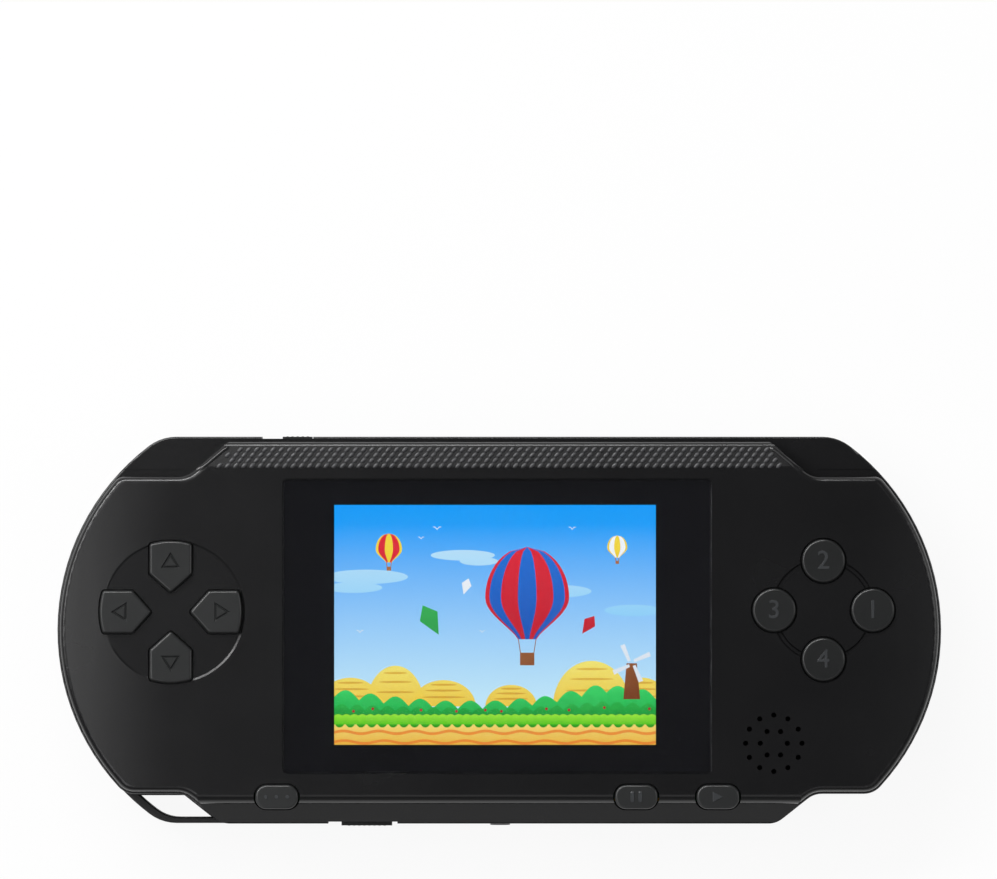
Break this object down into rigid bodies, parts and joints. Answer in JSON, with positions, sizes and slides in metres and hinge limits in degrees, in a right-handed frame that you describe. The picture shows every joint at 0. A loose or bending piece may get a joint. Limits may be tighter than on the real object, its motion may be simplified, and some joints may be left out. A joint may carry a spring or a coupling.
{
  "type": "handheld game console",
  "caption": "Flat handheld game console with a wide screen, pentagon direction keys, round action keys, edge slides, a speaker, a card slot and a sliding battery door.",
  "frame": {"origin": "middle of the flat back, which the console lies on", "axes": "+X to the console's right as its screen is looked at, +Y to its top edge with the power slide, +Z out of the screen"},
  "size_m": [0.157, 0.0691, 0.0166],
  "materials": {
    "case_plastic": "satin moulded, nearly black",
    "key_plastic": "satin moulded, dark grey",
    "lens_acrylic": "clear and polished",
    "black_tape": "matte adhesive film",
    "foam": "soft open foam",
    "steel": "pressed sheet",
    "screen_glass": "lit picture",
    "light_guide": "white moulded",
    "flex_film": "amber film",
    "board_laminate": "green solder mask",
    "chip_resin": "black resin",
    "socket_plastic": "black moulded",
    "bright_metal": "drawn can",
    "mat_rubber": "translucent grey silicone",
    "screw_steel": "blackened",
    "cloth": "fine black cloth",
    "cone_film": "thin pressed film",
    "battery_wrap": "wrapped metal can",
    "brass": "plated spring metal"
  },
  "bodies": {
    "case": {"front_shell": "case_plastic", "rear_shell": "case_plastic", "screen_lens": "lens_acrylic", "lens_tape": "black_tape", "lcd_gasket": "foam", "lcd_frame": "steel", "lcd_panel": "screen_glass", "lcd_backlight": "light_guide", "lcd_pad": "foam", "lcd_flex": "flex_film", "lcd_socket": "socket_plastic", "main_board": "board_laminate", "game_chip": "chip_resin", "memory_chip": "chip_resin", "amplifier_chip": "chip_resin", "crystal": "bright_metal", "board_capacitors": "bright_metal", "direction_mat": "mat_rubber", "action_mat": "mat_rubber", "reset_mat": "mat_rubber", "menu_mat": "mat_rubber", "power_switch": "steel", "volume_control": "steel", "av_jack": "socket_plastic", "charge_port": "steel", "card_connector": "socket_plastic", "speaker_cloth": "cloth", "speaker_gasket": "foam", "speaker_frame": "steel", "speaker_cone": "cone_film", "speaker_contacts": "brass", "battery": "battery_wrap", "battery_contacts": "socket_plastic", "contact_blades": "brass", "case_screws": "screw_steel", "board_screws": "screw_steel"},
    "right_key": {"right_key": "key_plastic"},
    "up_key": {"up_key": "key_plastic"},
    "left_key": {"left_key": "key_plastic"},
    "down_key": {"down_key": "key_plastic"},
    "action_key_1": {"action_key_1": "key_plastic"},
    "action_key_2": {"action_key_2": "key_plastic"},
    "action_key_3": {"action_key_3": "key_plastic"},
    "action_key_4": {"action_key_4": "key_plastic"},
    "reset_key": {"reset_key": "key_plastic"},
    "select_key": {"select_key": "key_plastic"},
    "start_key": {"start_key": "key_plastic"},
    "power_slide": {"power_knob": "key_plastic", "power_lever": "socket_plastic"},
    "volume_slide": {"volume_knob": "key_plastic", "volume_lever": "socket_plastic"},
    "battery_door": {"battery_door": "case_plastic"}
  },
  "joints": [
    {"name": "right_key_press", "type": "slide", "parent": "case", "child": "right_key", "axis": [0, 0, -1], "range_m": [0, 0.001], "stiffness_N_per_m": 800, "deforming": ["direction_mat"]},
    {"name": "up_key_press", "type": "slide", "parent": "case", "child": "up_key", "axis": [0, 0, -1], "range_m": [0, 0.001], "stiffness_N_per_m": 800, "deforming": ["direction_mat"]},
    {"name": "left_key_press", "type": "slide", "parent": "case", "child": "left_key", "axis": [0, 0, -1], "range_m": [0, 0.001], "stiffness_N_per_m": 800, "deforming": ["direction_mat"]},
    {"name": "down_key_press", "type": "slide", "parent": "case", "child": "down_key", "axis": [0, 0, -1], "range_m": [0, 0.001], "stiffness_N_per_m": 800, "deforming": ["direction_mat"]},
    {"name": "action_key_1_press", "type": "slide", "parent": "case", "child": "action_key_1", "axis": [0, 0, -1], "range_m": [0, 0.001], "stiffness_N_per_m": 800, "deforming": ["action_mat"]},
    {"name": "action_key_2_press", "type": "slide", "parent": "case", "child": "action_key_2", "axis": [0, 0, -1], "range_m": [0, 0.001], "stiffness_N_per_m": 800, "deforming": ["action_mat"]},
    {"name": "action_key_3_press", "type": "slide", "parent": "case", "child": "action_key_3", "axis": [0, 0, -1], "range_m": [0, 0.001], "stiffness_N_per_m": 800, "deforming": ["action_mat"]},
    {"name": "action_key_4_press", "type": "slide", "parent": "case", "child": "action_key_4", "axis": [0, 0, -1], "range_m": [0, 0.001], "stiffness_N_per_m": 800, "deforming": ["action_mat"]},
    {"name": "reset_key_press", "type": "slide", "parent": "case", "child": "reset_key", "axis": [0, 0, -1], "range_m": [0, 0.0008], "stiffness_N_per_m": 900, "deforming": ["reset_mat"]},
    {"name": "select_key_press", "type": "slide", "parent": "case", "child": "select_key", "axis": [0, 0, -1], "range_m": [0, 0.0008], "stiffness_N_per_m": 900, "deforming": ["menu_mat"]},
    {"name": "start_key_press", "type": "slide", "parent": "case", "child": "start_key", "axis": [0, 0, -1], "range_m": [0, 0.0008], "stiffness_N_per_m": 900, "deforming": ["menu_mat"]},
    {"name": "power_slide", "type": "slide", "parent": "case", "child": "power_slide", "axis": [-1, 0, 0], "range_m": [0, 0.0035]},
    {"name": "volume_slide", "type": "slide", "parent": "case", "child": "volume_slide", "axis": [1, 0, 0], "range_m": [-0.0022, 0.0008]},
    {"name": "battery_door_slide", "type": "slide", "parent": "case", "child": "battery_door", "axis": [0, -1, 0], "range_m": [0, 0.045]}
  ]
}
